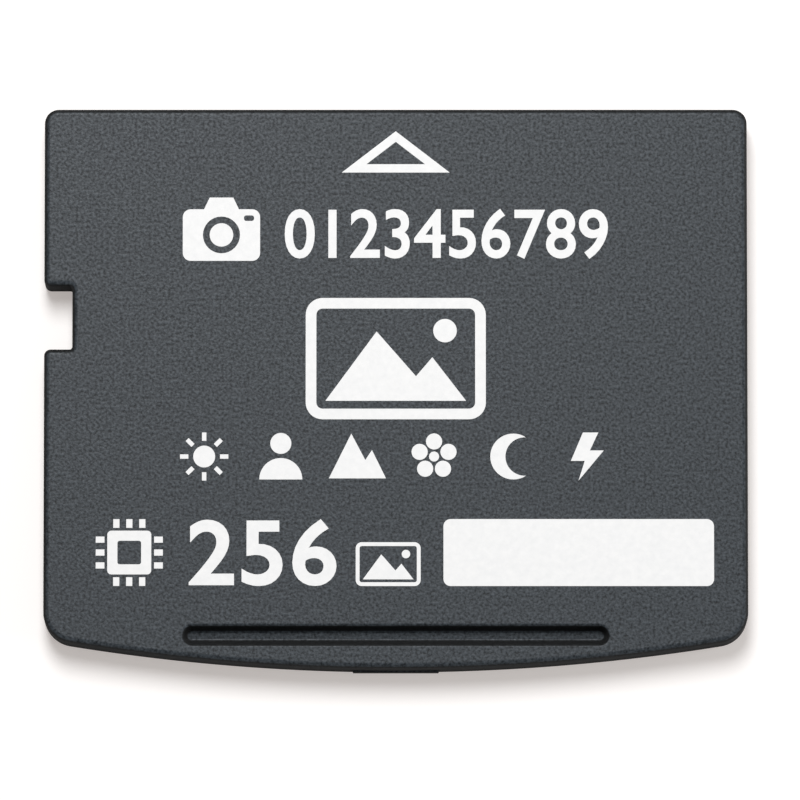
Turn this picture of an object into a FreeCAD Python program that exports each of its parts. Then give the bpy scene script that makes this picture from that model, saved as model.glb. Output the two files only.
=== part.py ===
import FreeCAD, Part
import math
import os
import Sketcher

# A small flat memory card for cameras, lying on its back.
# The frame: +X to the right and +Y towards the edge that goes into the camera first, seen from the front;
# +Z out of the front face. The origin is the middle of the rear face, on the surface the card lies on.
# The card is a moulded case with a stepped recess in its back, and a memory module bonded into that recess.
# The module is a printed board with flat contacts on its outer face, and a silicon die on its inner face,
# wired to the board and covered by a moulded cap.

document = FreeCAD.newDocument("memory_card")
sheet = document.addObject("Spreadsheet::Sheet", "sizes")

# Driving dimensions, in millimetres unless the meaning says otherwise.
DRIVING_SIZES = [
    ("card_width", 25.0, "side to side"),
    ("card_length", 20.0, "leading edge to the crest of the bowed trailing edge"),
    ("card_thickness", 1.7, "rear face to front face"),
    ("bow_radius", 72.5, "radius of the bowed trailing edge"),
    ("lead_corner_radius", 0.5, "corners of the leading edge"),
    ("tail_corner_radius", 1.2, "corners of the trailing edge"),
    ("edge_round", 0.16, "round along the front edge of the case"),
    ("rear_chamfer", 0.1, "chamfer along the rear edge of the case"),
    ("notch_setback", 6.35, "leading edge to the key notch"),
    ("notch_width", 2.25, "key notch, along the card"),
    ("notch_depth", 1.0, "key notch, in from the side"),
    ("notch_wall", 0.5, "wall left between the key notch and the recess"),
    ("notch_mouth_radius", 0.2, "outer corners of the key notch"),
    ("notch_root_radius", 0.1, "inner corners of the key notch"),
    ("groove_lip", 0.76, "crest of the trailing edge to the finger groove"),
    ("groove_length", 15.1, "mouth of the finger groove, end to end"),
    ("groove_width", 0.74, "mouth of the finger groove, along the card"),
    ("groove_depth", 0.5, "finger groove, below the front face"),
    ("groove_draft", 24.0, "slope of the sides of the finger groove, in degrees"),
    ("groove_wall", 0.9, "finger groove to the recess, seen from the front"),
    ("groove_floor_radius", 0.06, "round at the floor of the finger groove"),
    ("groove_edge_round", 0.06, "round at the mouth of the finger groove"),
    ("gate_width", 3.05, "trimmed gate mark on the trailing edge"),
    ("gate_height", 0.5, "gate mark, along the thickness"),
    ("gate_level", 0.3, "rear face to the gate mark"),
    ("gate_standout", 0.05, "gate mark, out from the crest of the trailing edge"),
    ("lead_rim", 0.9, "rim of the case ahead of the recess"),
    ("module_recess", 0.08, "rear face of the case in to the outer face of the board"),
    ("module_clearance", 0.05, "gap all round the board"),
    ("board_thickness", 0.3, "printed board"),
    ("board_corner_radius", 0.5, "corners of the printed board"),
    ("bond_thickness", 0.05, "adhesive frame between board and case"),
    ("flange_width", 0.8, "margin of the board left bare by the cap"),
    ("cap_thickness", 0.6, "moulded cap, off the board"),
    ("cap_corner_radius", 0.6, "corners of the moulded cap"),
    ("cap_draft", 8.0, "slope of the sides of the moulded cap, in degrees"),
    ("cap_clearance", 0.1, "gap around and above the moulded cap"),
    ("contact_count", 18, "contacts in the row, in pieces"),
    ("contact_pitch", 1.1, "contact to contact"),
    ("contact_width", 0.8, "one contact, across the card"),
    ("contact_length", 3.0, "one contact, along the card"),
    ("contact_thickness", 0.03, "plated contact, off the board"),
    ("contact_corner_radius", 0.1, "corners of a contact"),
    ("contact_setback", 0.5, "leading edge of the board to the contacts"),
    ("die_width", 13.0, "memory die, across the card"),
    ("die_length", 11.0, "memory die, along the card"),
    ("die_thickness", 0.2, "memory die"),
    ("die_film_thickness", 0.03, "adhesive film under the memory die"),
    ("wire_size", 0.03, "bond wire, across its section"),
    ("wire_pitch", 0.6, "bond wire to bond wire"),
    ("wire_inset", 0.15, "edge of the die back to the first bond"),
    ("wire_loop", 0.12, "rise of a bond wire above the die"),
    ("wire_reach", 0.7, "edge of the die out to the second bond"),
]
for row, (name, value, meaning) in enumerate(DRIVING_SIZES, start=1):
    sheet.set(f"A{row}", name)
    sheet.set(f"B{row}", str(value))
    sheet.setAlias(f"B{row}", name)
    sheet.set(f"C{row}", meaning)
document.recompute()

# Sizes and places that follow from the driving dimensions, as expressions that several pieces share.
LEAD_Y = "sizes.card_length / 2"
CREST_Y = "-sizes.card_length / 2"
SIDE_RIM = "(sizes.notch_depth + sizes.notch_wall)"
TAIL_RIM = "(sizes.groove_lip + sizes.groove_width + sizes.groove_wall)"
MODULE_Y = f"({TAIL_RIM} - sizes.lead_rim) / 2"
RECESS_WIDTH = f"(sizes.card_width - 2 * {SIDE_RIM})"
RECESS_LENGTH = f"(sizes.card_length - sizes.lead_rim - {TAIL_RIM})"
BOARD_WIDTH = f"({RECESS_WIDTH} - 2 * sizes.module_clearance)"
BOARD_LENGTH = f"({RECESS_LENGTH} - 2 * sizes.module_clearance)"
BOARD_LEAD_Y = f"({LEAD_Y} - sizes.lead_rim - sizes.module_clearance)"
BOARD_INNER_Z = "(sizes.module_recess + sizes.board_thickness)"
LEDGE_Z = f"({BOARD_INNER_Z} + sizes.bond_thickness)"
CAP_WIDTH = f"({BOARD_WIDTH} - 2 * sizes.flange_width)"
CAP_LENGTH = f"({BOARD_LENGTH} - 2 * sizes.flange_width)"
WELL_WIDTH = f"({CAP_WIDTH} + 2 * sizes.cap_clearance)"
WELL_LENGTH = f"({CAP_LENGTH} + 2 * sizes.cap_clearance)"
WELL_CORNER_RADIUS = "sizes.cap_corner_radius + sizes.cap_clearance"
WELL_DEPTH = f"({BOARD_INNER_Z} + sizes.cap_thickness + sizes.cap_clearance)"
DIE_UNDER_Z = f"({BOARD_INNER_Z} + sizes.die_film_thickness)"
DIE_TOP_Z = f"({DIE_UNDER_Z} + sizes.die_thickness)"
DIE_LEAD_Y = f"({MODULE_Y} + sizes.die_length / 2)"

# Two lengths nearer than this are the same, in millimetres.
SAME_LENGTH = 1e-4


def number(expression):
    """The value of an expression of the driving dimensions."""
    return float(sheet.evalExpression(expression))


def new_body(name):
    body = document.addObject("PartDesign::Body", name)
    body.Label = name
    return body


def origin_feature(body, role):
    """One of the planes or axes of a body's own origin."""
    return next(feature for feature in body.Origin.OriginFeatures if feature.Role == role)


def new_sketch(body, name, plane="XY_Plane", place=("0", "0", "0")):
    """A sketch on an origin plane of its body, moved by three expressions in the sketch's own axes."""
    sketch = body.newObject("Sketcher::SketchObject", name)
    sketch.AttachmentSupport = (origin_feature(body, plane), [""])
    sketch.MapMode = "FlatFace"
    for axis, expression in zip("xyz", place):
        sketch.setExpression(f"AttachmentOffset.Base.{axis}", expression)
    return sketch


def constrain(sketch, *constraint):
    return sketch.addConstraint(Sketcher.Constraint(*constraint))


def dimension(sketch, name, expression, *constraint):
    """A named dimension of a sketch, bound to an expression."""
    index = constrain(sketch, *constraint, number(expression))
    sketch.renameConstraint(index, name)
    sketch.setExpression(f"Constraints.{name}", expression)


def draw_line(sketch, start, end):
    segment = Part.LineSegment(FreeCAD.Vector(*start, 0), FreeCAD.Vector(*end, 0))
    return sketch.addGeometry(segment, False)


def draw_arc(sketch, centre, radius, start, end):
    """An arc from one angle to another, in radians, anticlockwise."""
    circle = Part.Circle(FreeCAD.Vector(*centre, 0), FreeCAD.Vector(0, 0, 1), radius)
    return sketch.addGeometry(Part.ArcOfCircle(circle, start, end), False)


def draw_polygon(sketch, corners):
    """A closed polygon through the corners, side by side; each side starts at its own corner."""
    count = len(corners)
    for side in range(count):
        draw_line(sketch, corners[side], corners[(side + 1) % count])
    for side in range(count):
        constrain(sketch, "Coincident", side, 2, (side + 1) % count, 1)


def draw_rectangle(sketch, width, length):
    """A sharp rectangle about the sketch's origin."""
    x = number(width) / 2
    y = number(length) / 2
    draw_polygon(sketch, [(-x, -y), (x, -y), (x, y), (-x, y)])
    for side, direction in enumerate(("Horizontal", "Vertical", "Horizontal", "Vertical")):
        constrain(sketch, direction, side)
    constrain(sketch, "Symmetric", 0, 1, 2, 1, -1, 1)
    dimension(sketch, "width", width, "DistanceX", 0, 1, 0, 2)
    dimension(sketch, "length", length, "DistanceY", 1, 1, 1, 2)


def draw_rounded_rectangle(sketch, width, length, radius):
    """A rectangle with round corners about the sketch's origin."""
    x = number(width) / 2
    y = number(length) / 2
    r = number(radius)
    draw_line(sketch, (r - x, -y), (x - r, -y))
    draw_line(sketch, (x, r - y), (x, y - r))
    draw_line(sketch, (x - r, y), (r - x, y))
    draw_line(sketch, (-x, y - r), (-x, r - y))
    quarter = math.pi / 2
    for turn, (across, along) in enumerate(((1, -1), (1, 1), (-1, 1), (-1, -1))):
        centre = (across * (x - r), along * (y - r))
        draw_arc(sketch, centre, r, (turn - 1) * quarter, turn * quarter)
    for side in range(4):
        corner = 4 + side
        constrain(sketch, "Tangent", side, 2, corner, 1)
        constrain(sketch, "Tangent", corner, 2, (side + 1) % 4, 1)
    for side, direction in enumerate(("Horizontal", "Vertical", "Horizontal", "Vertical")):
        constrain(sketch, direction, side)
    for corner in (5, 6, 7):
        constrain(sketch, "Equal", 4, corner)
    constrain(sketch, "Symmetric", 5, 3, 7, 3, -1, 1)
    dimension(sketch, "width", width, "DistanceX", 3, 1, 1, 1)
    dimension(sketch, "length", length, "DistanceY", 0, 1, 2, 1)
    dimension(sketch, "radius", radius, "Radius", 4)


def draw_slot(sketch, length, width):
    """A slot with full round ends along X, about the sketch's origin."""
    r = number(width) / 2
    x = number(length) / 2 - r
    quarter = math.pi / 2
    draw_line(sketch, (-x, -r), (x, -r))
    draw_arc(sketch, (x, 0), r, -quarter, quarter)
    draw_line(sketch, (x, r), (-x, r))
    draw_arc(sketch, (-x, 0), r, quarter, 3 * quarter)
    for piece in range(4):
        constrain(sketch, "Tangent", piece, 2, (piece + 1) % 4, 1)
    constrain(sketch, "Equal", 1, 3)
    constrain(sketch, "Horizontal", 0)
    constrain(sketch, "Symmetric", 1, 3, 3, 3, -1, 1)
    dimension(sketch, "centres", f"{length} - {width}", "DistanceX", 3, 3, 1, 3)
    dimension(sketch, "radius", f"{width} / 2", "Radius", 1)


def draw_case_outline(sketch):
    """The outline of the case, straight on three sides and bowed along the trailing edge."""
    x = number("sizes.card_width") / 2
    lead_y = number(LEAD_Y)
    radius = number("sizes.bow_radius")
    bow_centre = f"{CREST_Y} + sizes.bow_radius"
    spread = math.asin(x / radius)
    tail_y = number(bow_centre) - radius * math.cos(spread)
    down = -math.pi / 2
    draw_line(sketch, (-x, lead_y), (x, lead_y))
    draw_line(sketch, (x, lead_y), (x, tail_y))
    draw_arc(sketch, (0, number(bow_centre)), radius, down - spread, down + spread)
    draw_line(sketch, (-x, tail_y), (-x, lead_y))
    constrain(sketch, "Coincident", 0, 2, 1, 1)
    constrain(sketch, "Coincident", 1, 2, 2, 2)
    constrain(sketch, "Coincident", 2, 1, 3, 1)
    constrain(sketch, "Coincident", 3, 2, 0, 1)
    constrain(sketch, "Vertical", 1)
    constrain(sketch, "Vertical", 3)
    constrain(sketch, "Symmetric", 0, 1, 0, 2, -2)
    constrain(sketch, "PointOnObject", 2, 3, -2)
    dimension(sketch, "width", "sizes.card_width", "DistanceX", 0, 1, 0, 2)
    dimension(sketch, "lead_edge", LEAD_Y, "DistanceY", -1, 1, 0, 1)
    dimension(sketch, "bow", "sizes.bow_radius", "Radius", 2)
    dimension(sketch, "bow_centre", bow_centre, "DistanceY", -1, 1, 2, 3)


def pad(body, name, sketch, length):
    feature = body.newObject("PartDesign::Pad", name)
    feature.Profile = sketch
    feature.setExpression("Length", length)
    document.recompute()
    return feature


def pocket(body, name, sketch, depth, upwards):
    """A pocket cut up from the rear of a body, or down from its front."""
    volume_before = body.Shape.Volume
    feature = body.newObject("PartDesign::Pocket", name)
    feature.Profile = sketch
    feature.setExpression("Length", depth)
    feature.Reversed = upwards
    document.recompute()
    if not feature.Shape.Volume < volume_before:
        raise RuntimeError(f"{name} cuts nothing")
    return feature


def dress_edges(body, kind, name, base, chosen, measure, expression):
    """A fillet or chamfer on those edges of a feature that a test picks."""
    edges = [f"Edge{index}" for index, edge in enumerate(base.Shape.Edges, start=1) if chosen(edge)]
    if not edges:
        raise RuntimeError(f"{name} found no edge")
    feature = body.newObject(f"PartDesign::{kind}", name)
    feature.Base = (base, edges)
    feature.setExpression(measure, expression)
    document.recompute()
    return feature


def round_edges(body, name, base, chosen, radius):
    return dress_edges(body, "Fillet", name, base, chosen, "Radius", radius)


def chamfer_edges(body, name, base, chosen, depth):
    return dress_edges(body, "Chamfer", name, base, chosen, "Size", depth)


def same(first, second):
    return abs(first - second) < SAME_LENGTH


def both_sides(middle, width):
    """The two places half a width to either side of a middle."""
    return number(f"{middle} - {width} / 2"), number(f"{middle} + {width} / 2")


def is_upright(edge):
    """An edge that runs along the card's thickness."""
    start = edge.firstVertex().Point
    end = edge.lastVertex().Point
    return same(start.x, end.x) and same(start.y, end.y) and not same(start.z, end.z)


def is_level(edge, z):
    """An edge whose ends both lie at one height."""
    return all(same(vertex.Point.z, z) for vertex in edge.Vertexes)


def make_case():
    """The moulded case, with its key notch, gate mark, stepped recess and finger groove."""
    body = new_body("card_case")
    outline = new_sketch(body, "case_outline")
    draw_case_outline(outline)
    pad(body, "case_blank", outline, "sizes.card_thickness")

    # The key notch is drawn about the left side of the card, so that half of the drawing cuts.
    notch_y = f"{LEAD_Y} - sizes.notch_setback - sizes.notch_width / 2"
    notch = new_sketch(body, "notch_outline", place=("-sizes.card_width / 2", notch_y, "0"))
    draw_rectangle(notch, "2 * sizes.notch_depth", "sizes.notch_width")
    notched = pocket(body, "key_notch", notch, "sizes.card_thickness", upwards=True)

    # Upright corners: those of the notch, then the leading pair and the trailing pair.
    left_x = -number("sizes.card_width") / 2
    lead_y = number(LEAD_Y)
    root_x = left_x + number("sizes.notch_depth")
    tail_y = min(vertex.Point.y for vertex in notched.Shape.Vertexes)
    mouth_ys = both_sides(notch_y, "sizes.notch_width")

    def at_root(edge):
        return is_upright(edge) and same(edge.CenterOfMass.x, root_x)

    def at_mouth(edge):
        place = edge.CenterOfMass
        return is_upright(edge) and same(place.x, left_x) and any(same(place.y, y) for y in mouth_ys)

    def at_lead(edge):
        return is_upright(edge) and same(edge.CenterOfMass.y, lead_y)

    def at_tail(edge):
        return is_upright(edge) and same(edge.CenterOfMass.y, tail_y)

    rounded = round_edges(body, "notch_roots", notched, at_root, "sizes.notch_root_radius")
    rounded = round_edges(body, "notch_mouth", rounded, at_mouth, "sizes.notch_mouth_radius")
    rounded = round_edges(body, "lead_corners", rounded, at_lead, "sizes.lead_corner_radius")
    rounded = round_edges(body, "tail_corners", rounded, at_tail, "sizes.tail_corner_radius")

    # The front edge is rounded and the rear edge chamfered, all the way round.
    front_z = number("sizes.card_thickness")

    def at_front(edge):
        return is_level(edge, front_z)

    def at_rear(edge):
        return is_level(edge, 0)

    rounded = round_edges(body, "front_edge", rounded, at_front, "sizes.edge_round")
    chamfer_edges(body, "rear_edge", rounded, at_rear, "sizes.rear_chamfer")

    # The gate mark stands a little proud of the crest, and its root is buried in the lip of the groove.
    gate_y = f"{CREST_Y} + (sizes.groove_lip - sizes.gate_standout) / 2"
    gate = new_sketch(body, "gate_outline", place=("0", gate_y, "sizes.gate_level"))
    draw_rectangle(gate, "sizes.gate_width", "sizes.groove_lip + sizes.gate_standout")
    pad(body, "gate_mark", gate, "sizes.gate_height")

    # The recess in the back: a shelf that the board drops into, and a deeper well for the cap.
    shelf = new_sketch(body, "shelf_outline", place=("0", MODULE_Y, "0"))
    shelf_corner_radius = "sizes.board_corner_radius + sizes.module_clearance"
    draw_rounded_rectangle(shelf, RECESS_WIDTH, RECESS_LENGTH, shelf_corner_radius)
    pocket(body, "module_shelf", shelf, LEDGE_Z, upwards=True)
    well = new_sketch(body, "well_outline", place=("0", MODULE_Y, "0"))
    draw_rounded_rectangle(well, WELL_WIDTH, WELL_LENGTH, WELL_CORNER_RADIUS)
    pocket(body, "module_well", well, WELL_DEPTH, upwards=True)

    # The finger groove, with sloped sides, a softened mouth and a narrow flat floor.
    groove_y = f"{CREST_Y} + sizes.groove_lip + sizes.groove_width / 2"
    groove = new_sketch(body, "groove_outline", place=("0", groove_y, "sizes.card_thickness"))
    draw_slot(groove, "sizes.groove_length", "sizes.groove_width")
    grooved = pocket(body, "finger_groove", groove, "sizes.groove_depth", upwards=False)
    grooved.setExpression("TaperAngle", "-sizes.groove_draft")
    document.recompute()
    floor_z = front_z - number("sizes.groove_depth")
    side_ys = both_sides(groove_y, "sizes.groove_width")

    def at_floor(edge):
        return is_level(edge, floor_z)

    def at_groove_mouth(edge):
        return is_level(edge, front_z) and all(
            any(same(vertex.Point.y, y) for y in side_ys) for vertex in edge.Vertexes
        )

    rounded = round_edges(body, "groove_floor", grooved, at_floor, "sizes.groove_floor_radius")
    round_edges(body, "groove_mouth", rounded, at_groove_mouth, "sizes.groove_edge_round")
    return body


def make_board():
    """The printed board of the module, its outer face towards the rear."""
    body = new_body("printed_board")
    outline = new_sketch(body, "board_outline", place=("0", MODULE_Y, "sizes.module_recess"))
    draw_rounded_rectangle(outline, BOARD_WIDTH, BOARD_LENGTH, "sizes.board_corner_radius")
    pad(body, "board_sheet", outline, "sizes.board_thickness")
    return body


def make_bonding_frame():
    """The adhesive frame that holds the margin of the board to the ledge of the case."""
    body = new_body("bonding_frame")
    outline = new_sketch(body, "frame_outline", place=("0", MODULE_Y, BOARD_INNER_Z))
    draw_rounded_rectangle(outline, BOARD_WIDTH, BOARD_LENGTH, "sizes.board_corner_radius")
    pad(body, "frame_sheet", outline, "sizes.bond_thickness")
    window = new_sketch(body, "frame_window", place=("0", MODULE_Y, BOARD_INNER_Z))
    draw_rounded_rectangle(window, WELL_WIDTH, WELL_LENGTH, WELL_CORNER_RADIUS)
    pocket(body, "frame_opening", window, "sizes.bond_thickness", upwards=True)
    return body


def make_contact(index):
    """One plated contact on the outer face of the board, counted from the left."""
    label = f"contact_{index + 1:02d}"
    body = new_body(label)
    x = f"({index} - (round(sizes.contact_count) - 1) / 2) * sizes.contact_pitch"
    y = f"{BOARD_LEAD_Y} - sizes.contact_setback - sizes.contact_length / 2"
    z = "sizes.module_recess - sizes.contact_thickness"
    outline = new_sketch(body, f"{label}_outline", place=(x, y, z))
    draw_rounded_rectangle(
        outline, "sizes.contact_width", "sizes.contact_length", "sizes.contact_corner_radius"
    )
    pad(body, f"{label}_plate", outline, "sizes.contact_thickness")
    return body


def make_die_layer(name, under_z, thickness):
    """A flat block with the outline of the memory die."""
    block = document.addObject("Part::Box", name)
    block.Label = name
    block.setExpression("Length", "sizes.die_width")
    block.setExpression("Width", "sizes.die_length")
    block.setExpression("Height", thickness)
    block.setExpression("Placement.Base.x", "-sizes.die_width / 2")
    block.setExpression("Placement.Base.y", f"{MODULE_Y} - sizes.die_length / 2")
    block.setExpression("Placement.Base.z", under_z)
    document.recompute()
    return block


def make_bond_wires():
    """Fine wires from the leading edge of the die to the board, one for each contact, square in section."""
    body = new_body("bond_wires")
    first_x = "-(round(sizes.contact_count) - 1) / 2 * sizes.wire_pitch - sizes.wire_size / 2"
    neck_y = f"({DIE_LEAD_Y} - sizes.wire_inset)"
    foot_y = f"({DIE_LEAD_Y} + sizes.wire_reach)"
    loop_z = f"({DIE_TOP_Z} + sizes.wire_loop)"
    corners = [
        (f"{neck_y} - sizes.wire_size", DIE_TOP_Z),
        (neck_y, DIE_TOP_Z),
        (neck_y, f"{loop_z} - sizes.wire_size"),
        (f"{DIE_LEAD_Y} - sizes.wire_size / 2", f"{loop_z} - sizes.wire_size"),
        (f"{foot_y} - 2 * sizes.wire_size", BOARD_INNER_Z),
        (foot_y, BOARD_INNER_Z),
        (DIE_LEAD_Y, loop_z),
        (f"{neck_y} - sizes.wire_size", loop_z),
    ]
    profile = new_sketch(body, "wire_profile", plane="YZ_Plane", place=("0", "0", first_x))
    draw_polygon(profile, [(number(y), number(z)) for y, z in corners])
    for corner, (y, z) in enumerate(corners):
        dimension(profile, f"y{corner}", y, "DistanceX", -1, 1, corner, 1)
        dimension(profile, f"z{corner}", z, "DistanceY", -1, 1, corner, 1)
    first_wire = pad(body, "first_wire", profile, "sizes.wire_size")
    wire_row = body.newObject("PartDesign::LinearPattern", "wire_row")
    wire_row.Originals = [first_wire]
    wire_row.Direction = (origin_feature(body, "X_Axis"), [""])
    wire_row.setExpression("Length", "(round(sizes.contact_count) - 1) * sizes.wire_pitch")
    wire_row.setExpression("Occurrences", "round(sizes.contact_count)")
    body.Tip = wire_row
    document.recompute()
    return body


def make_cap(buried_pieces):
    """The cap moulded on the board, in which each buried piece leaves its own hollow."""
    cap = new_body("cap_blank")
    outline = new_sketch(cap, "cap_outline", place=("0", MODULE_Y, BOARD_INNER_Z))
    draw_rounded_rectangle(outline, CAP_WIDTH, CAP_LENGTH, "sizes.cap_corner_radius")
    block = pad(cap, "cap_block", outline, "sizes.cap_thickness")
    block.setExpression("TaperAngle", "-sizes.cap_draft")
    for piece in buried_pieces:
        hollowed = document.addObject("Part::Cut", f"cap_around_{piece.Name}")
        hollowed.Base = cap
        hollowed.Tool = piece
        cap = hollowed
    cap.Label = "moulded_cap"
    document.recompute()
    return cap


case = make_case()
bonding_frame = make_bonding_frame()
board = make_board()
contacts = [make_contact(index) for index in range(round(number("sizes.contact_count")))]
die_film = make_die_layer("die_film", BOARD_INNER_Z, "sizes.die_film_thickness")
die = make_die_layer("memory_die", DIE_UNDER_Z, "sizes.die_thickness")
wires = make_bond_wires()
cap = make_cap([die_film, die, wires])
pieces = [case, bonding_frame, board, *contacts, die_film, die, wires, cap]

for thing in document.Objects:
    if "Invalid" in thing.State or "Error" in thing.State:
        raise RuntimeError(f"{thing.Label} did not build")
for piece in pieces:
    if piece.Shape.isNull() or not piece.Shape.isValid() or not piece.Shape.Solids:
        raise RuntimeError(f"{piece.Label} has no sound solid")

os.makedirs("parts", exist_ok=True)
for piece in pieces:
    piece.Shape.exportStep(f"parts/{piece.Label}.step")
    print(f"{piece.Label}: {len(piece.Shape.Solids)} solids, {piece.Shape.Volume:.5f} cubic mm")
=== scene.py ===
import math

import bmesh
import bpy
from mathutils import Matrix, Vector


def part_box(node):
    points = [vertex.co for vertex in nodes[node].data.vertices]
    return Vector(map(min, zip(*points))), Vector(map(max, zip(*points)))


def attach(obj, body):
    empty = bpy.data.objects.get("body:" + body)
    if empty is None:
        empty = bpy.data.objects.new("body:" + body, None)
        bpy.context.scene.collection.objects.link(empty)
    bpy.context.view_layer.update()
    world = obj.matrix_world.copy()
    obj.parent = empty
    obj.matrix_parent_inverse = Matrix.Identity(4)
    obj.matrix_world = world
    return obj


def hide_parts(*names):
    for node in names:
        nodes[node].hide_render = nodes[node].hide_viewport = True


# A flat memory card for cameras, seen from the front with the edge that goes in first at the top.
# X runs to the right, Y towards that edge and Z out of the front face.
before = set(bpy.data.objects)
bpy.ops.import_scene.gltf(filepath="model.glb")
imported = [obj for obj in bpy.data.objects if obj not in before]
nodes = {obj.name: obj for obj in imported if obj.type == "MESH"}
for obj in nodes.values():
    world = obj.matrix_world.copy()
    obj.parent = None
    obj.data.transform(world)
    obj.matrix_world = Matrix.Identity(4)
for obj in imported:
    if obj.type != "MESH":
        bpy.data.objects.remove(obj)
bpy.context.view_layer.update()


# Printed board.
# A thin laminate sheet with copper tracks under a satin black mask. It is the base that the other pieces of
# the module are fixed to, and its outer face shows in the back of the card.
MM = 0.001

# Nearly all of a noise lies between these two values.
noise_low = 0.3
noise_high = 0.7


def start_finish(name):
    """A new material, with its node tree, its shader and the coordinates of the piece that it covers."""
    finish = bpy.data.materials.new(name)
    finish.use_nodes = True
    tree = finish.node_tree
    shader = tree.nodes["Principled BSDF"]
    place = tree.nodes.new("ShaderNodeTexCoord")
    return finish, tree, shader, place


def add_node(tree, kind, values=None, **settings):
    """A node with its settings and the values of its sockets; a value that is a socket is linked."""
    node = tree.nodes.new(kind)
    for setting, value in settings.items():
        setattr(node, setting, value)
    for socket, value in (values or {}).items():
        if isinstance(value, bpy.types.NodeSocket):
            tree.links.new(value, node.inputs[socket])
        else:
            node.inputs[socket].default_value = value
    return node


def work_out(tree, operation, first, second):
    """The result of a sum on two values, each a number or a socket."""
    return add_node(tree, "ShaderNodeMath", {0: first, 1: second}, operation=operation).outputs[0]


def stretch(tree, value, low, high, to_low, to_high):
    """A value brought from one range to another, held inside it, with soft ends."""
    values = {"Value": value, "From Min": low, "From Max": high, "To Min": to_low, "To Max": to_high}
    return add_node(tree, "ShaderNodeMapRange", values, interpolation_type="SMOOTHSTEP").outputs["Result"]


def shade_between(tree, value, dark, light, low=noise_low, high=noise_high):
    """A colour that goes from dark to light as the value goes from low to high."""
    ramp = add_node(tree, "ShaderNodeValToRGB", {"Fac": value})
    first, last = ramp.color_ramp.elements
    first.position = low
    first.color = (*dark, 1)
    last.position = high
    last.color = (*light, 1)
    return ramp.outputs["Color"]


def grain_of(tree, place, size, detail=2.0, spread=(1, 1, 1)):
    """A cloudy noise whose grains have a given size, drawn out along the axes by the spread."""
    drawn = add_node(tree, "ShaderNodeMapping", {"Vector": place.outputs["Object"]})
    drawn.inputs["Scale"].default_value = [1 / (size * share) for share in spread]
    values = {"Vector": drawn.outputs["Vector"], "Scale": 1.0, "Detail": detail, "Roughness": 0.6}
    return add_node(tree, "ShaderNodeTexNoise", values).outputs["Fac"]


def tint(tree, shader, grain, dark, light):
    """Lets the shader's colour follow a grain."""
    tree.links.new(shade_between(tree, grain, dark, light), shader.inputs["Base Color"])


def roughen(tree, shader, grain, low, high):
    """Lets the shader's roughness follow a grain."""
    roughness = stretch(tree, grain, noise_low, noise_high, low, high)
    tree.links.new(roughness, shader.inputs["Roughness"])


def add_relief(tree, shader, height, depth, strength=1.0):
    """Small relief that the shader's normal follows."""
    values = {"Height": height, "Distance": depth, "Strength": strength}
    relief = add_node(tree, "ShaderNodeBump", values)
    tree.links.new(relief.outputs["Normal"], shader.inputs["Normal"])


def put_on(node_name, finish):
    """Gives a solid its finish."""
    node = nodes[node_name]
    node.data.materials.clear()
    node.data.materials.append(finish)


contact_names = sorted(name for name in nodes if name.startswith("contact_"))
contact_low, contact_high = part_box(contact_names[0])
contact_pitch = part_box(contact_names[1])[0].x - contact_low.x
contact_middle_x = (contact_low.x + contact_high.x) / 2
track_half_width = 0.07 * MM
track_edge = 0.03 * MM
track_thickness = 0.02 * MM
track_end_y = -5.0 * MM
bare_mask_colour = (0.009, 0.011, 0.012)
mask_colour_on_track = (0.02, 0.024, 0.024)

# A track runs from the middle of each contact across the board, and shows through the mask as a low ridge.
board_finish, tree, shader, place = start_finish("board_mask")
axes = add_node(tree, "ShaderNodeSeparateXYZ", {"Vector": place.outputs["Object"]})
from_contact = work_out(tree, "SUBTRACT", axes.outputs["X"], contact_middle_x)
from_track = work_out(tree, "PINGPONG", from_contact, contact_pitch / 2)
across = stretch(tree, from_track, track_half_width, track_half_width + track_edge, 1, 0)
along = stretch(tree, axes.outputs["Y"], track_end_y - track_edge, track_end_y + track_edge, 0, 1)
track = work_out(tree, "MULTIPLY", across, along)
mask_colour = shade_between(tree, track, bare_mask_colour, mask_colour_on_track, low=0, high=1)
tree.links.new(mask_colour, shader.inputs["Base Color"])
weave = grain_of(tree, place, size=0.25 * MM)
roughen(tree, shader, weave, low=0.26, high=0.4)
add_relief(tree, shader, track, depth=track_thickness)
put_on("printed_board", board_finish)


# Contacts.
# Copper pads with a hard gold plating, one beside the other on the outer face of the board. The springs of
# a slot wipe along them, which leaves fine marks along the card.
contact_finish, tree, shader, place = start_finish("contact_gold")
wipe = grain_of(tree, place, size=0.02 * MM, detail=3.0, spread=(1, 40, 1))
cloud = grain_of(tree, place, size=0.5 * MM)
tint(tree, shader, cloud, dark=(0.76, 0.52, 0.19), light=(0.88, 0.64, 0.27))
roughen(tree, shader, wipe, low=0.22, high=0.34)
shader.inputs["Metallic"].default_value = 1.0
add_relief(tree, shader, wipe, depth=0.001 * MM, strength=0.3)
for contact_name in contact_names:
    put_on(contact_name, contact_finish)


# Memory die and its film.
# A thin slice of silicon, ground on its back and patterned with metal on its face, stuck to the middle of
# the board with an amber adhesive film.
film_finish, tree, shader, place = start_finish("die_film")
cloud = grain_of(tree, place, size=0.4 * MM, detail=3.0)
tint(tree, shader, cloud, dark=(0.42, 0.31, 0.14), light=(0.6, 0.48, 0.26))
roughen(tree, shader, cloud, low=0.45, high=0.65)
add_relief(tree, shader, cloud, depth=0.004 * MM)
put_on("die_film", film_finish)

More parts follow.
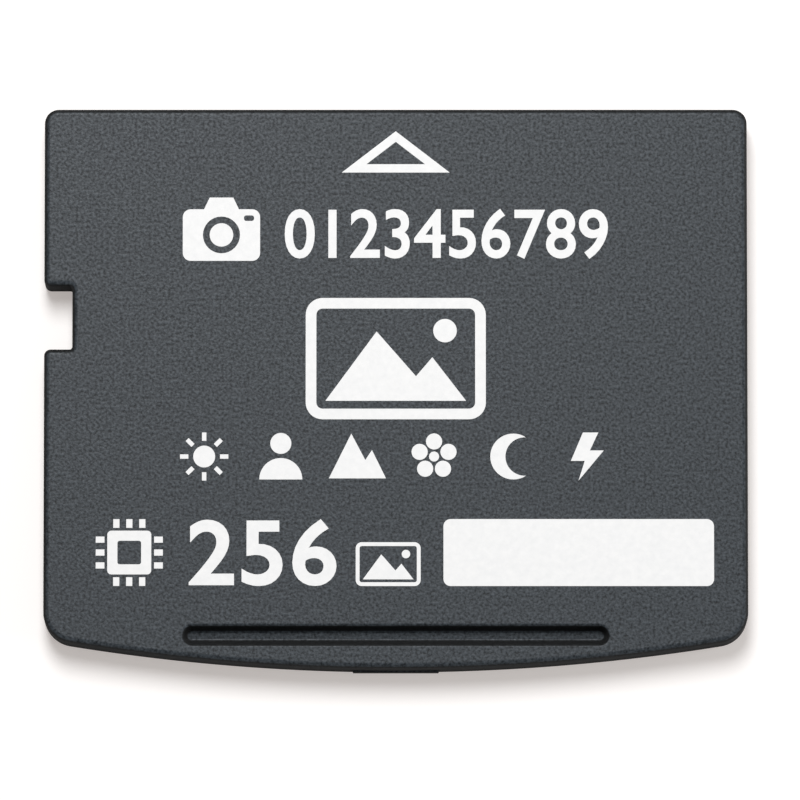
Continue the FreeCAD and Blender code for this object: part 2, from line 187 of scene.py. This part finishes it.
die_finish, tree, shader, place = start_finish("silicon")
cells = add_node(
    tree,
    "ShaderNodeTexBrick",
    {
        "Vector": place.outputs["Object"],
        "Color1": (0.17, 0.17, 0.22, 1),
        "Color2": (0.23, 0.21, 0.26, 1),
        "Mortar": (0.33, 0.31, 0.27, 1),
        "Scale": 1.0,
        "Mortar Size": 0.03 * MM,
        "Brick Width": 1.6 * MM,
        "Row Height": 0.7 * MM,
    },
    offset=0.0,
)
ground = grain_of(tree, place, size=0.03 * MM, spread=(30, 1, 1))
tree.links.new(cells.outputs["Color"], shader.inputs["Base Color"])
roughen(tree, shader, ground, low=0.16, high=0.34)
shader.inputs["Metallic"].default_value = 0.6
add_relief(tree, shader, cells.outputs["Fac"], depth=0.003 * MM)
put_on("memory_die", die_finish)


# Bond wires.
# Fine drawn gold wires, welded at one end to the die and at the other to the board, one for each contact.
# The drawing leaves faint lines along them.
wire_finish, tree, shader, place = start_finish("wire_gold")
drawn = grain_of(tree, place, size=0.006 * MM, spread=(1, 20, 20))
tint(tree, shader, drawn, dark=(0.78, 0.56, 0.23), light=(0.9, 0.69, 0.34))
roughen(tree, shader, drawn, low=0.2, high=0.34)
shader.inputs["Metallic"].default_value = 1.0
put_on("bond_wires", wire_finish)


# Moulded cap.
# Black epoxy with a mineral filler, moulded over the die and its wires in a drafted block, with the matt
# skin that the mould leaves.
cap_finish, tree, shader, place = start_finish("cap_epoxy")
filler = grain_of(tree, place, size=0.06 * MM, detail=3.0)
tint(tree, shader, filler, dark=(0.014, 0.014, 0.015), light=(0.03, 0.03, 0.032))
roughen(tree, shader, filler, low=0.5, high=0.72)
add_relief(tree, shader, filler, depth=0.006 * MM)
put_on("moulded_cap", cap_finish)


# Bonding frame.
# A frame cut from a sheet of clear amber adhesive. It holds the margin of the board to the ledge inside
# the case.
bond_finish, tree, shader, place = start_finish("adhesive")
smear = grain_of(tree, place, size=0.3 * MM, detail=3.0)
tint(tree, shader, smear, dark=(0.46, 0.37, 0.2), light=(0.62, 0.54, 0.36))
roughen(tree, shader, smear, low=0.3, high=0.5)
add_relief(tree, shader, smear, depth=0.005 * MM)
put_on("bonding_frame", bond_finish)


# Case.
# One moulding of black plastic with a fine spark-etched front. It has a key notch, a finger groove and a
# gate mark, and a stepped recess in its back that the module is bonded into. It is drawn in millimetres.
ink_thickness = 0.008
module_clearance = 0.05
cap_clearance = 0.1
board_corner_radius = 0.5
cap_corner_radius = 0.6
gate_standout = 0.05
gate_width = 3.05
gate_height = 0.5
gate_level = 0.3
gate_corner_radius = 0.02
bow_radius = 72.5
lead_corner_radius = 0.5
tail_corner_radius = 1.1
edge_round = 0.21
rear_chamfer = 0.1
notch_setback = 6.35
notch_width = 2.25
notch_depth = 1.0
notch_mouth_radius = 0.23
notch_root_radius = 0.1
groove_lip = 0.85
groove_length = 15.1
groove_width = 0.68
groove_depth = 0.5
groove_draft = math.radians(18)
groove_end_draft = math.radians(16)
groove_floor_lean = math.radians(6)
groove_softening = 0.08
groove_floor_softening = 0.08
sharp_angle = math.radians(40)
quarter_turn = math.pi / 2
same_point = 1e-3

case_low, case_high = (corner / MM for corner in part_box("card_case"))
front_z = case_high.z - ink_thickness
side_x = case_high.x
lead_y = case_high.y
crest_y = case_low.y + gate_standout


def let_go():
    """Leaves edit mode, with nothing selected."""
    if bpy.context.mode != "OBJECT":
        bpy.ops.object.mode_set(mode="OBJECT")
    bpy.ops.object.select_all(action="DESELECT")


def hold(piece):
    """Leaves edit mode, with one piece selected and active."""
    let_go()
    piece.select_set(True)
    bpy.context.view_layer.objects.active = piece


def start_piece(name):
    """A new mesh at the origin with nothing in it, in edit mode."""
    let_go()
    bpy.ops.mesh.primitive_plane_add()
    piece = bpy.context.object
    piece.name = name
    piece.data.name = name
    bpy.ops.object.mode_set(mode="EDIT")
    bpy.ops.mesh.select_mode(type="VERT")
    bpy.ops.mesh.delete(type="VERT")
    return piece


def pen_down(x, y, z):
    """Puts the pen down at a point, to draw an outline from there."""
    bpy.ops.mesh.select_all(action="DESELECT")
    bpy.ops.mesh.primitive_plane_add(location=(x, y, z))
    bpy.ops.mesh.merge(type="CENTER")


def pen_place():
    """Where the pen is now."""
    shape = bmesh.from_edit_mesh(bpy.context.object.data)
    return next(point.co.copy() for point in shape.verts if point.select)


def line_to(x, y):
    """Draws on in a straight line."""
    start = pen_place()
    step = (x - start.x, y - start.y, 0)
    bpy.ops.mesh.extrude_vertices_move(TRANSFORM_OT_translate={"value": step})


def arc_about(x, y, turn, steps):
    """Draws on round a centre, by a turn in radians that is positive when anticlockwise."""
    bpy.ops.mesh.spin(steps=steps, angle=-turn, center=(x, y, pen_place().z), axis=(0, 0, 1))


def close_outlines():
    """Joins the end of each outline to its start, and leaves them all selected."""
    bpy.ops.mesh.select_all(action="SELECT")
    bpy.ops.mesh.remove_doubles(threshold=same_point)
    bpy.ops.mesh.select_all(action="SELECT")


def draw_round_rectangle(low_x, low_y, high_x, high_y, z, radius, steps=8):
    """A rectangle with round corners, drawn anticlockwise."""
    pen_down(low_x + radius, low_y, z)
    line_to(high_x - radius, low_y)
    arc_about(high_x - radius, low_y + radius, quarter_turn, steps)
    line_to(high_x, high_y - radius)
    arc_about(high_x - radius, high_y - radius, quarter_turn, steps)
    line_to(low_x + radius, high_y)
    arc_about(low_x + radius, high_y - radius, quarter_turn, steps)
    line_to(low_x, low_y + radius)
    arc_about(low_x + radius, low_y + radius, quarter_turn, steps)


def raise_outline(height):
    """Fills the selected outline with one face and draws it up into a closed block."""
    bpy.ops.mesh.edge_face_add()
    bpy.ops.mesh.extrude_region_move(TRANSFORM_OT_translate={"value": (0, 0, height)})
    bpy.ops.mesh.select_all(action="SELECT")
    bpy.ops.mesh.normals_make_consistent(inside=False)


def choose_edges(wanted):
    """Selects the edges of the mesh being edited whose two ends both pass a test."""
    bpy.ops.mesh.select_mode(type="EDGE")
    bpy.ops.mesh.select_all(action="DESELECT")
    mesh = bpy.context.object.data
    shape = bmesh.from_edit_mesh(mesh)
    for edge in shape.edges:
        if all(wanted(end.co) for end in edge.verts):
            edge.select_set(True)
    shape.select_flush_mode()
    bmesh.update_edit_mesh(mesh)


def combine(piece, tool, operation):
    """Cuts a tool out of a piece or joins it on, and throws the tool away."""
    hold(piece)
    step = piece.modifiers.new("step", "BOOLEAN")
    step.operation = operation
    step.solver = "EXACT"
    step.object = tool
    bpy.ops.object.modifier_apply(modifier=step.name)
    bpy.data.objects.remove(tool)


def finish_piece(piece, finish):
    """Brings a piece from millimetres to metres, gives it its finish and fixes it to the card."""
    hold(piece)
    piece.scale = (MM, MM, MM)
    bpy.ops.object.transform_apply(location=False, rotation=False, scale=True)
    piece.data.materials.clear()
    piece.data.materials.append(finish)
    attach(piece, "root")


# The outline: the right side, the leading edge, the left side with its notch, and the bowed trailing edge.
bow_centre_y = crest_y + bow_radius
tail_x = side_x - tail_corner_radius
tail_y = bow_centre_y - math.sqrt((bow_radius - tail_corner_radius) ** 2 - tail_x**2)
bow_turn = 2 * math.asin(tail_x / (bow_radius - tail_corner_radius))
tail_turn = (math.pi - bow_turn) / 2
lead_x = side_x - lead_corner_radius
lead_corner_y = lead_y - lead_corner_radius
notch_top = lead_y - notch_setback
notch_bottom = notch_top - notch_width
mouth_x = notch_mouth_radius - side_x
root_x = notch_depth - side_x - notch_root_radius

case = start_piece("case")
pen_down(bow_radius * math.sin(bow_turn / 2), bow_centre_y - bow_radius * math.cos(bow_turn / 2), 0)
arc_about(tail_x, tail_y, tail_turn, steps=14)
line_to(side_x, lead_corner_y)
arc_about(lead_x, lead_corner_y, quarter_turn, steps=10)
line_to(-lead_x, lead_y)
arc_about(-lead_x, lead_corner_y, quarter_turn, steps=10)
line_to(-side_x, notch_top + notch_mouth_radius)
arc_about(mouth_x, notch_top + notch_mouth_radius, quarter_turn, steps=6)
line_to(root_x, notch_top)
arc_about(root_x, notch_top - notch_root_radius, -quarter_turn, steps=5)
line_to(root_x + notch_root_radius, notch_bottom + notch_root_radius)
arc_about(root_x, notch_bottom + notch_root_radius, -quarter_turn, steps=5)
line_to(mouth_x, notch_bottom)
arc_about(mouth_x, notch_bottom - notch_mouth_radius, quarter_turn, steps=6)
line_to(-side_x, tail_y)
arc_about(-tail_x, tail_y, tail_turn, steps=14)
arc_about(0, bow_centre_y, bow_turn, steps=48)
close_outlines()
raise_outline(front_z)
choose_edges(lambda point: point.z > front_z - same_point)
bpy.ops.mesh.bevel(offset=edge_round, segments=6, profile=0.5, affect="EDGES")
choose_edges(lambda point: point.z < same_point)
bpy.ops.mesh.bevel(offset=rear_chamfer, segments=1, affect="EDGES")

# The gate mark, a low bar left at the crest of the bow where the plastic ran in.
gate = start_piece("gate")
draw_round_rectangle(
    low_x=-gate_width / 2,
    low_y=crest_y - gate_standout,
    high_x=gate_width / 2,
    high_y=crest_y + groove_lip / 2,
    z=gate_level,
    radius=gate_corner_radius,
    steps=2,
)
close_outlines()
raise_outline(gate_height)
combine(case, gate, "UNION")

# The recess in the back: a shelf for the board and a deeper well for the cap. Both are cut from below.
start_below = 0.5
board_low, board_high = (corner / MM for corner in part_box("printed_board"))
cap_low, cap_high = (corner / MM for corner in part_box("moulded_cap"))
shelf_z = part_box("bonding_frame")[1].z / MM
for low, high, clearance, radius, top in (
    (board_low, board_high, module_clearance, board_corner_radius, shelf_z),
    (cap_low, cap_high, cap_clearance, cap_corner_radius, cap_high.z + cap_clearance),
):
    cutter = start_piece("cutter")
    draw_round_rectangle(
        low_x=low.x - clearance,
        low_y=low.y - clearance,
        high_x=high.x + clearance,
        high_y=high.y + clearance,
        z=-start_below,
        radius=radius + clearance,
    )
    close_outlines()
    raise_outline(top + start_below)
    combine(case, cutter, "DIFFERENCE")

# The finger groove, a slot with full round ends, sloped sides, softened lips and a narrow floor that leans
# a little. Its cutter starts above the front face, where it is wider by the flare of the sides.
start_above = 0.2
groove_floor = front_z - groove_depth
groove_low_y = crest_y + groove_lip
groove_high_y = groove_low_y + groove_width
groove_end_x = groove_length / 2
groove_slope = math.tan(groove_draft)
flare = start_above * groove_slope
end_flare = start_above * math.tan(groove_end_draft)
inset_width = (groove_depth + start_above) * groove_slope
floor_low_y = groove_low_y + groove_depth * groove_slope
floor_end_x = groove_end_x - groove_depth * math.tan(groove_end_draft)
floor_stretch = floor_end_x / (groove_end_x + end_flare - inset_width)
cutter = start_piece("cutter")
draw_round_rectangle(
    low_x=-groove_end_x - end_flare,
    low_y=groove_low_y - flare,
    high_x=groove_end_x + end_flare,
    high_y=groove_high_y + flare,
    z=front_z + start_above,
    radius=groove_width / 2 + flare,
    steps=12,
)
close_outlines()
raise_outline(start_above)
choose_edges(lambda point: point.z < front_z + start_above + same_point)
bpy.ops.mesh.select_mode(type="FACE")
bpy.ops.mesh.inset(thickness=inset_width, depth=groove_depth + start_above)
bpy.ops.transform.resize(value=(floor_stretch, 1, 1), center_override=(0, groove_low_y, groove_floor))
# The floor rises away from the grip. With no window this operator turns the other way, hence the sign.
bpy.ops.transform.rotate(
    value=-groove_floor_lean, orient_axis="X", center_override=(0, floor_low_y, groove_floor)
)
choose_edges(lambda point: point.z < front_z)
bpy.ops.mesh.bevel(offset=groove_floor_softening, segments=5, profile=0.5, affect="EDGES")
combine(case, cutter, "DIFFERENCE")


def at_groove_mouth(point):
    """True at the edge where the groove meets the front face."""
    return (
        point.z > front_z - same_point
        and abs(point.x) < groove_end_x + flare
        and groove_low_y - flare < point.y < groove_high_y + flare
    )


bpy.ops.object.mode_set(mode="EDIT")
choose_edges(at_groove_mouth)
bpy.ops.mesh.bevel(offset=groove_softening, segments=5, profile=0.5, affect="EDGES")
bpy.ops.object.mode_set(mode="OBJECT")
bpy.ops.object.shade_smooth_by_angle(angle=sharp_angle)
weights = case.modifiers.new("weights", "WEIGHTED_NORMAL")
weights.keep_sharp = True
weights.weight = 100
bpy.ops.object.modifier_apply(modifier=weights.name)

# The etching covers what faces the front and fades out round the edges, later on the grip side, and the walls
# are more matt. The colour fades with it to a far blacker wall colour. That colour is partly the smooth
# plastic's own tone and partly painted shade on the walls and rounded edges. Because the fade leans towards
# the grip side, this painted shade also depends on which way an edge faces. In a Mix node, sockets 2 and 3
# are its two numbers, 6 and 7 its two colours.
etch_and_shade_lean = math.radians(12)
etch_and_shade_begins = 0.72
etch_and_shade_full = 0.934
etch_and_shade_side = (0, -math.sin(etch_and_shade_lean), math.cos(etch_and_shade_lean))
case_finish, tree, shader, place = start_finish("case_plastic")
grain = grain_of(tree, place, size=0.1 * MM)
normal_and_side = {0: place.outputs["Normal"], 1: etch_and_shade_side}
facing = add_node(tree, "ShaderNodeVectorMath", normal_and_side, operation="DOT_PRODUCT").outputs["Value"]
etch_and_shade_share = stretch(tree, facing, etch_and_shade_begins, etch_and_shade_full, 0, 1)
etched_colour = shade_between(tree, grain, dark=(0.0095, 0.0119, 0.0144), light=(0.064, 0.0758, 0.088))
# The wall colour holds painted shade as well as the smooth plastic's own black.
wall_colour_and_shade = shade_between(tree, grain, dark=(0.004, 0.0045, 0.005), light=(0.016, 0.017, 0.018))
colours = {0: etch_and_shade_share, 6: wall_colour_and_shade, 7: etched_colour}
plastic_colour_and_shade = add_node(tree, "ShaderNodeMix", colours, data_type="RGBA")
tree.links.new(plastic_colour_and_shade.outputs[2], shader.inputs["Base Color"])
etched_roughness = stretch(tree, grain, noise_low, noise_high, to_low=0.48, to_high=0.36)
wall_roughness = stretch(tree, facing, low=0.2, high=0.6, to_low=1.0, to_high=0.7)
plastic_roughness = add_node(tree, "ShaderNodeMix", {0: etch_and_shade_share, 2: wall_roughness, 3: etched_roughness})
tree.links.new(plastic_roughness.outputs[0], shader.inputs["Roughness"])
shader.inputs["Specular IOR Level"].default_value = 0.2
shader.distribution = "GGX"
add_relief(tree, shader, grain, depth=0.012 * MM, strength=0.6)
finish_piece(case, case_finish)
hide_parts("card_case")


# Print.
# Matt white ink, screen printed on the front face in one pass: the arrow that shows which edge goes in
# first, a field to write on, and plain pictures and numbers. The ink is a few microns thick.
ink_finish, tree, shader, place = start_finish("print_ink")
grain = grain_of(tree, place, size=0.11 * MM)
cloud = grain_of(tree, place, size=0.25 * MM, detail=4.0)
tint(tree, shader, cloud, dark=(0.85, 0.855, 0.86), light=(0.91, 0.91, 0.91))
roughen(tree, shader, grain, low=0.5, high=0.7)
shader.inputs["Specular IOR Level"].default_value = 0.3
add_relief(tree, shader, grain, depth=0.006 * MM, strength=0.4)


def ink_outlines():
    """Fills the outlines drawn since the last fill, with those inside others left open, and hides them."""
    close_outlines()
    bpy.ops.mesh.fill(use_beauty=True)
    bpy.ops.mesh.select_all(action="SELECT")
    bpy.ops.mesh.hide(unselected=False)


def thicken_ink(piece):
    """Gives a flat print the thickness of its ink and fixes it to the card."""
    bpy.ops.mesh.reveal(select=False)
    bpy.ops.mesh.select_all(action="SELECT")
    bpy.ops.mesh.extrude_region_move(TRANSFORM_OT_translate={"value": (0, 0, ink_thickness)})
    bpy.ops.mesh.select_all(action="SELECT")
    bpy.ops.mesh.normals_make_consistent(inside=False)
    finish_piece(piece, ink_finish)


def draw_polygon(corners):
    """A closed outline with straight sides."""
    pen_down(*corners[0], front_z)
    for corner in (*corners[1:], corners[0]):
        line_to(*corner)


def draw_circle(x, y, radius, steps=32):
    """A closed round outline."""
    pen_down(x + radius, y, front_z)
    arc_about(x, y, 2 * math.pi, steps)


# The arrow, an outlined triangle that points to the leading edge.
arrow_half_width = 1.92
arrow_base_y = 7.718
arrow_tip_y = 9.2
arrow_stroke = 0.30
arrow_slope = math.atan2(arrow_tip_y - arrow_base_y, arrow_half_width)
inner_base_y = arrow_base_y + arrow_stroke
inner_tip_y = arrow_tip_y - arrow_stroke / math.cos(arrow_slope)
inner_half_width = (inner_tip_y - inner_base_y) / math.tan(arrow_slope)
arrow = start_piece("print_arrow")
draw_polygon([(-arrow_half_width, arrow_base_y), (arrow_half_width, arrow_base_y), (0, arrow_tip_y)])
draw_polygon([(-inner_half_width, inner_base_y), (inner_half_width, inner_base_y), (0, inner_tip_y)])
ink_outlines()
thicken_ink(arrow)

# A camera, with the step of its viewfinder, a small window and its lens.
camera_x = -6.2
camera_y = 5.6
camera_half_width = 1.375
camera_left = camera_x - camera_half_width
camera_right = camera_x + camera_half_width
camera_low = camera_y - 1.05
camera_high = camera_y + 0.8
camera_corner = 0.28
finder_half_width = 0.62
finder_slope = 0.2
finder_height = 0.42
window_left = camera_x + 0.8
window_right = camera_x + 1.16
window_low = camera_high - 0.42
window_high = camera_high - 0.22
window_corner = 0.08
lens_y = camera_y - 0.12
lens_ring_radius = 0.66
lens_radius = 0.42
print_camera = start_piece("print_camera")
pen_down(camera_left + camera_corner, camera_low, front_z)
line_to(camera_right - camera_corner, camera_low)
arc_about(camera_right - camera_corner, camera_low + camera_corner, quarter_turn, steps=6)
line_to(camera_right, camera_high - camera_corner)
arc_about(camera_right - camera_corner, camera_high - camera_corner, quarter_turn, steps=6)
line_to(camera_x + finder_half_width, camera_high)
line_to(camera_x + finder_half_width - finder_slope, camera_high + finder_height)
line_to(camera_x - finder_half_width + finder_slope, camera_high + finder_height)
line_to(camera_x - finder_half_width, camera_high)
line_to(camera_left + camera_corner, camera_high)
arc_about(camera_left + camera_corner, camera_high - camera_corner, quarter_turn, steps=6)
line_to(camera_left, camera_low + camera_corner)
arc_about(camera_left + camera_corner, camera_low + camera_corner, quarter_turn, steps=6)
draw_circle(camera_x, lens_y, lens_ring_radius)
draw_round_rectangle(window_left, window_low, window_right, window_high, front_z, window_corner, steps=4)
ink_outlines()
draw_circle(camera_x, lens_y, lens_radius)
ink_outlines()
thicken_ink(print_camera)

# A row of plain digits beside the camera. Some outlines of the type have a point twice, which would tear
# them as the strokes get bolder, so the second point is deleted.
digits_low = (-3.95, 4.62)
digits_high = (7.55, 6.42)
doubled_point = 0.004
same_type_point = same_point / 50


def print_number(name, digits, low, high, boldness, spacing):
    """A plain number that fills a box, set in the built-in type, with its strokes made a little bolder."""
    let_go()
    bpy.ops.object.text_add()
    piece = bpy.context.object
    piece.data.body = digits
    piece.data.space_character = spacing
    bpy.ops.object.convert(target="CURVE")
    piece = bpy.context.object
    bpy.ops.object.mode_set(mode="EDIT")
    bpy.ops.curve.select_all(action="DESELECT")
    for outline in piece.data.splines:
        points = outline.bezier_points
        for index, point in enumerate(points):
            point.select_control_point = (point.co - points[index - 1].co).length < doubled_point
    bpy.ops.curve.delete(type="VERT")
    bpy.ops.object.mode_set(mode="OBJECT")
    piece.data.dimensions = "2D"
    piece.data.fill_mode = "FRONT"
    piece.data.resolution_u = 6
    piece.data.offset = boldness
    bpy.ops.object.convert(target="MESH")
    piece = bpy.context.object
    piece.name = name
    piece.data.name = name
    xs = [point.co.x for point in piece.data.vertices]
    ys = [point.co.y for point in piece.data.vertices]
    width_scale = (high[0] - low[0]) / (max(xs) - min(xs))
    height_scale = (high[1] - low[1]) / (max(ys) - min(ys))
    piece.scale = (width_scale, height_scale, 1)
    piece.location = (low[0] - min(xs) * width_scale, low[1] - min(ys) * height_scale, front_z)
    bpy.ops.object.transform_apply(location=True, rotation=False, scale=True)
    bpy.ops.object.mode_set(mode="EDIT")
    bpy.ops.mesh.select_all(action="SELECT")
    bpy.ops.mesh.remove_doubles(threshold=same_type_point)
    bpy.ops.mesh.beautify_fill()
    bpy.ops.mesh.faces_shade_flat()
    thicken_ink(piece)


print_number("print_digits", "0123456789", digits_low, digits_high, boldness=0.015, spacing=1.02)

# A picture: a frame with two hills and the sun in it. A small copy of it stands in the bottom row.
row_low_y = -7.069
row_high_y = -4.681
picture_low_x = -3.2
picture_high_x = 3.2
picture_low_y = -1.12
picture_high_y = 3.22
picture_stroke = 0.38
picture_corner = 0.6
picture_hills = [(-2.5, -0.46), (2.5, -0.46), (1.3, 1.1), (0.72, 0.42), (-0.68, 2.02)]
picture_sun = (1.75, 2.05)
picture_sun_radius = 0.42
small_share = 0.36
small_low_x = -1.42
picture = start_piece("print_picture")
draw_round_rectangle(picture_low_x, picture_low_y, picture_high_x, picture_high_y, front_z, picture_corner)
draw_round_rectangle(
    low_x=picture_low_x + picture_stroke,
    low_y=picture_low_y + picture_stroke,
    high_x=picture_high_x - picture_stroke,
    high_y=picture_high_y - picture_stroke,
    z=front_z,
    radius=picture_corner - picture_stroke,
    steps=6,
)
ink_outlines()
draw_polygon(picture_hills)
draw_circle(*picture_sun, picture_sun_radius)
ink_outlines()
hold(picture)
bpy.ops.object.duplicate()
small_picture = bpy.context.object
small_picture.name = "print_small_picture"
small_picture.data.name = "print_small_picture"
small_picture.scale = (small_share, small_share, 1)
small_picture.location.x = small_low_x - small_share * picture_low_x
small_picture.location.y = row_low_y - small_share * picture_low_y
bpy.ops.object.transform_apply(location=True, rotation=False, scale=True)
for piece in (picture, small_picture):
    hold(piece)
    bpy.ops.object.mode_set(mode="EDIT")
    thicken_ink(piece)

# A row of small pictures: sun, person, hills, flower, moon and lightning. Each is drawn about its own
# middle, reaching about one unit to each side, and scene_size makes it as large as it is printed.
scene_size = 0.78
scene_count = 6
scene_pitch = 2.72
scene_y = -2.45


def scene_points(place, points):
    """Points of a small picture, brought to its place in the row."""
    middle_x = (place - (scene_count - 1) / 2) * scene_pitch
    return [(middle_x + scene_size * x, scene_y + scene_size * y) for x, y in points]


def turned(points, turn):
    """Points turned about the origin."""
    cosine = math.cos(turn)
    sine = math.sin(turn)
    return [(x * cosine - y * sine, x * sine + y * cosine) for x, y in points]


scenes = start_piece("print_scenes")

sun_radius = 0.5
sun_ray = [(0.72, -0.1), (1.1, -0.1), (1.1, 0.1), (0.72, 0.1)]
ray_count = 8
(sun,) = scene_points(0, [(0, 0)])
draw_circle(*sun, sun_radius * scene_size)
for index in range(ray_count):
    draw_polygon(scene_points(0, turned(sun_ray, index * 2 * math.pi / ray_count)))

head_place = (0, 0.6)
head_radius = 0.48
chest_place = (0, -1.05)
chest_radius = 0.98
head, (chest_x, chest_y) = scene_points(1, [head_place, chest_place])
draw_circle(*head, head_radius * scene_size)
pen_down(chest_x + chest_radius * scene_size, chest_y, front_z)
arc_about(chest_x, chest_y, math.pi, steps=24)
line_to(chest_x + chest_radius * scene_size, chest_y)

small_hills = [(-1.3, -1), (1.3, -1), (0.66, 0.3), (0.36, -0.16), (-0.28, 1.05)]
draw_polygon(scene_points(2, small_hills))

petal_count = 5
petal_place = (0, 0.69)
petal_radius = 0.37
seed_head_radius = 0.23
for index in range(petal_count):
    (petal,) = scene_points(3, turned([petal_place], index * 2 * math.pi / petal_count))
    draw_circle(*petal, petal_radius * scene_size, steps=20)
(seed_head,) = scene_points(3, [(0, 0)])
draw_circle(*seed_head, seed_head_radius * scene_size, steps=20)

moon_radius = 1.05
bite_radius = 0.88
bite_shift = 0.52
moon_x = 0.12
horn_x = (bite_shift**2 + moon_radius**2 - bite_radius**2) / (2 * bite_shift)
horn_y = math.sqrt(moon_radius**2 - horn_x**2)
horn, moon, bite = scene_points(4, [(moon_x + horn_x, horn_y), (moon_x, 0), (moon_x + bite_shift, 0)])
pen_down(*horn, front_z)
arc_about(*moon, 2 * math.pi - 2 * math.atan2(horn_y, horn_x), steps=30)
arc_about(*bite, 2 * math.atan2(horn_y, horn_x - bite_shift) - 2 * math.pi, steps=24)

lightning = [(0.5, 1.1), (-0.2, 1.1), (-0.75, -0.2), (-0.12, -0.2), (-0.4, -1.1), (0.75, 0.28), (0.12, 0.28)]
draw_polygon(scene_points(5, lightning))

ink_outlines()
thicken_ink(scenes)

# The bottom row: a chip, a plain number and a field to write on.
chip_x = -9.45
chip_y = (row_low_y + row_high_y) / 2
chip_half = 0.78
chip_corner = 0.14
chip_window_half = 0.42
chip_window_corner = 0.08
pin_pitch = 0.46
pin_root = 0.88
pin_tip = 1.19
pin_half_width = 0.11
count_low = (-7.341, row_low_y)
count_high = (-2.1, row_high_y)
field_low_x = 1.692
field_high_x = 11.288
field_corner = 0.25
chip = start_piece("print_chip")
for half, corner in ((chip_half, chip_corner), (chip_window_half, chip_window_corner)):
    draw_round_rectangle(chip_x - half, chip_y - half, chip_x + half, chip_y + half, front_z, corner, steps=4)
for side in range(4):
    for index in (-1, 0, 1):
        pin_low = index * pin_pitch - pin_half_width
        pin_high = index * pin_pitch + pin_half_width
        pin = [(pin_root, pin_low), (pin_tip, pin_low), (pin_tip, pin_high), (pin_root, pin_high)]
        draw_polygon([(chip_x + x, chip_y + y) for x, y in turned(pin, side * quarter_turn)])
ink_outlines()
thicken_ink(chip)
print_number("print_count", "256", count_low, count_high, boldness=0.018, spacing=1.06)
field = start_piece("print_field")
draw_round_rectangle(field_low_x, row_low_y, field_high_x, row_high_y, front_z, field_corner)
ink_outlines()
thicken_ink(field)


# Stage.
# A plain pale paper floor, with a soft box above and behind the card, a low lamp on its right and a dim
# even light from all round. The floor glows a little to the eye alone, and keeps the card's shadow.
floor_size = 4
floor_lift = 0.375
bpy.ops.object.select_all(action="DESELECT")
bpy.ops.mesh.primitive_plane_add(size=floor_size)
floor = bpy.context.object
floor.name = "floor"
floor_finish = bpy.data.materials.new("floor_paper")
floor_finish.use_nodes = True
tree = floor_finish.node_tree
tree.nodes.clear()
paper = add_node(tree, "ShaderNodeBsdfDiffuse", {"Color": (0.75, 0.75, 0.75, 1)})
ray_kind = add_node(tree, "ShaderNodeLightPath").outputs
seen_or_mirrored = work_out(tree, "MAXIMUM", ray_kind["Is Camera Ray"], ray_kind["Is Glossy Ray"])
seen_at_all = work_out(tree, "MAXIMUM", seen_or_mirrored, ray_kind["Is Transmission Ray"])
lift = work_out(tree, "MULTIPLY", seen_at_all, floor_lift)
glow = add_node(tree, "ShaderNodeEmission", {"Color": (1.0, 0.92, 0.88, 1), "Strength": lift})
both = add_node(tree, "ShaderNodeAddShader", {0: paper.outputs[0], 1: glow.outputs[0]})
add_node(tree, "ShaderNodeOutputMaterial", {"Surface": both.outputs[0]})
floor.data.materials.append(floor_finish)

world = bpy.data.worlds.new("studio")
bpy.context.scene.world = world
world.use_nodes = True
all_round = world.node_tree.nodes["Background"]
all_round.inputs["Color"].default_value = (1.0, 0.98, 0.955, 1)
all_round.inputs["Strength"].default_value = 0.2


def add_lamp(name, shape, width, length, energy, direction, distance):
    """A flat lamp that shines on the card from a direction and isn't seen itself."""
    lamp = bpy.data.lights.new(name, "AREA")
    lamp.shape = shape
    lamp.size = width
    lamp.size_y = length
    lamp.energy = energy
    lamp_object = bpy.data.objects.new(name, lamp)
    lamp_object.visible_camera = False
    bpy.context.scene.collection.objects.link(lamp_object)
    lamp_object.location = direction * distance
    lamp_object.rotation_mode = "QUATERNION"
    lamp_object.rotation_quaternion = (-direction).to_track_quat("-Z", "Y")


box_lean = math.radians(25)
box_side = math.radians(-4.5)
box_direction = Vector((math.sin(box_side), math.sin(box_lean), math.cos(box_lean))).normalized()
side_direction = Vector((1, 0, 0.25)).normalized()
add_lamp(
    "soft_box", "ELLIPSE", width=0.0805, length=0.132, energy=0.45, direction=box_direction, distance=0.23
)
add_lamp(
    "side_card", "RECTANGLE", width=0.16, length=0.08, energy=0.31, direction=side_direction, distance=0.25
)


# Camera.
# It stands well back and looks down on the card from the grip side, a little off the upright. Its long lens
# keeps the sides of the card nearly parallel.
view_distance = 0.42
view_tilt = math.radians(6.5)
aim = Vector((0.151, -0.334, 0.85)) * MM
back = Vector((0, -math.sin(view_tilt), math.cos(view_tilt)))
camera = bpy.data.cameras.new("camera")
camera.sensor_width = 36
camera.lens = 531.1
camera.clip_start = 0.01
camera_object = bpy.data.objects.new("camera", camera)
bpy.context.scene.collection.objects.link(camera_object)
camera_object.location = aim + back * view_distance
camera_object.rotation_mode = "QUATERNION"
camera_object.rotation_quaternion = (-back).to_track_quat("-Z", "Y")
bpy.context.scene.camera = camera_object
bpy.context.scene.view_settings.view_transform = "Standard"
